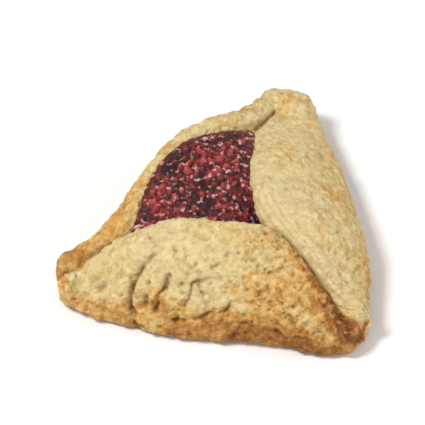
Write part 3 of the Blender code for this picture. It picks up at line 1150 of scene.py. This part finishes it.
def dough_material():
    """Dry baked dough: cream where it stayed pale, then gold, and brown where it toasted.

    Its hollows and seams are darkened with painted shade, and its rolled rim gets painted light with a
    warmer tone."""
    nodes = Nodes("baked_dough")
    blotches = nodes.times(nodes.plus(nodes.noise(0.0045, 4.0, 0.6), -0.5), 0.50)
    specks = nodes.times(nodes.plus(nodes.noise(0.0011, 3.0, 0.7), -0.5), 0.78)
    brown = nodes.plus(nodes.plus(nodes.attribute("toast"), blotches), specks)
    colour = nodes.ramp(brown, BAKED)
    colour = nodes.tint(colour, nodes.step(nodes.noise(0.0022, 4.0, 0.65), 0.46, 0.66), 0.32, DULL)
    colour = crumb_colours(nodes, colour, brown)
    # The rolled rim gets a warmer tone and painted light that brightens it against the front fold's cast
    # shadow
    colour = nodes.tint(colour, nodes.attribute("lip"), 0.28, ROLLED_RIM_TONE_AND_LIGHT)
    # Painted shade: the dough darkens by how deep it is sunk in cracks, pits, wrinkles, seams and rim lines
    colour = nodes.tint(colour, nodes.step(nodes.attribute("sunk"), 0.12, 0.90), 0.62, HOLLOW_SHADE)
    # Painted shade along the seams, where one fold lies against the next
    colour = nodes.tint(colour, nodes.step(nodes.attribute("seam"), 0.70, 1.0), 1.0, SEAM_SHADE)
    nodes.surface("Base Color", colour)
    nodes.surface("Roughness", nodes.plus(nodes.times(nodes.noise(0.002), 0.25), 0.62))
    nodes.surface("Specular IOR Level", 0.25)
    nodes.bump(nodes.noise(0.0008, 4.0, 0.7), 1.0, 0.0007)
    return nodes.material


def jam_material():
    """Dark red wet jam, with painted shade in its hollows, painted highlights on its lumps, and pale fruit
    bits that are partly painted glints.
    """
    nodes = Nodes("red_jam")
    cloudy = nodes.times(nodes.noise(0.0015, 3.0, 0.6), 0.5)
    # Painted shade in the hollows and painted highlight on the lumps, with a random cloudiness
    mottled_and_shaded = nodes.plus(nodes.times(nodes.attribute("high"), 0.55), cloudy)
    # Pale flecks: bits of fruit, and partly painted glints
    bits_and_glints = nodes.step(nodes.noise(0.0013, 2.0, 0.5), 0.57, 0.67)
    nodes.surface("Base Color", nodes.tint(nodes.ramp(mottled_and_shaded, JAM_SHADE_TO_HIGHLIGHT), bits_and_glints, 1.0, FRUIT_BIT_AND_GLINT))
    nodes.surface("Roughness", nodes.plus(nodes.times(nodes.noise(0.001), 0.22), 0.10))
    nodes.surface("Specular IOR Level", 0.5)
    nodes.surface("Coat Weight", 0.25)
    nodes.surface("Coat Roughness", 0.05)
    nodes.bump(nodes.noise(0.0009, 3.0, 0.7), 1.0, 0.0012)
    return nodes.material


def floor_material():
    """Pale matt floor, hardly mottled."""
    nodes = Nodes("pale_floor")
    tone = nodes.plus(nodes.times(nodes.noise(0.05), 0.01), 0.90)
    colour = nodes.ramp(tone, [(0.0, GROUND_DARK), (1.0, GROUND_LIGHT)])
    nodes.surface("Base Color", colour)
    nodes.surface("Roughness", 0.9)
    return nodes.material


# Camera and light. The camera's height is the angle above the ground that the photo was taken from
CAMERA_HEIGHT = math.radians(48)
CAMERA_AWAY = 1.00
PICTURE_WIDTH = 0.092
SENSOR_WIDTH = 36
AIM = Vector((0.0, 0.0, 0.0080))
GROUND_REACH = 1.5
SURROUND_LIGHT = 0.42


def camera():
    """Looks down at the front fold as the photographer did, from far away for a flat perspective."""
    data = bpy.data.cameras.new("camera")
    data.sensor_width = SENSOR_WIDTH
    data.lens = SENSOR_WIDTH * CAMERA_AWAY / PICTURE_WIDTH
    made = bpy.data.objects.new("camera", data)
    bpy.context.scene.collection.objects.link(made)
    made.location = AIM + Vector((0, -math.cos(CAMERA_HEIGHT), math.sin(CAMERA_HEIGHT))) * CAMERA_AWAY
    made.rotation_euler = (math.pi / 2 - CAMERA_HEIGHT, 0, 0)
    bpy.context.scene.camera = made


def lamp(name, place, size, power):
    """A soft square lamp that points at the object."""
    data = bpy.data.lights.new(name, "AREA")
    data.size = size
    data.energy = power
    made = bpy.data.objects.new(name, data)
    bpy.context.scene.collection.objects.link(made)
    made.location = place
    made.rotation_euler = (AIM - Vector(place)).to_track_quat("-Z", "Y").to_euler()


def studio():
    """A pale floor, a white surround and three soft lamps."""
    mesh = bmesh.new()
    bmesh.ops.create_grid(mesh, x_segments=1, y_segments=1, size=GROUND_REACH)
    ground = link("floor_plane", mesh)
    ground.data.materials.append(floor_material())
    world = bpy.data.worlds.new("surround")
    bpy.context.scene.world = world
    world.use_nodes = True
    background = world.node_tree.nodes["Background"]
    background.inputs["Color"].default_value = (1, 1, 1, 1)
    background.inputs["Strength"].default_value = SURROUND_LIGHT
    lamp("key", (-0.40, -0.15, 0.73), size=0.20, power=5.2)
    lamp("fill", (0.70, -0.05, 0.34), size=0.45, power=2.2)
    lamp("front", (-0.20, -0.75, 0.45), size=0.40, power=0.8)
    bpy.context.scene.view_settings.view_transform = "Standard"


def attach(piece, node, material):
    """Gives a finished piece its material and its body, and hides the node that it stands for."""
    piece.data.materials.clear()
    piece.data.materials.append(material)
    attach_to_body(piece, "root")
    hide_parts(node)


# The whole scene
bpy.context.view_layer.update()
noise.seed_set(WARP_SEED)
attach(pastry_skin(), "pastry", dough_material())
attach(jam_skin(), "filling", jam_material())
studio()
camera()
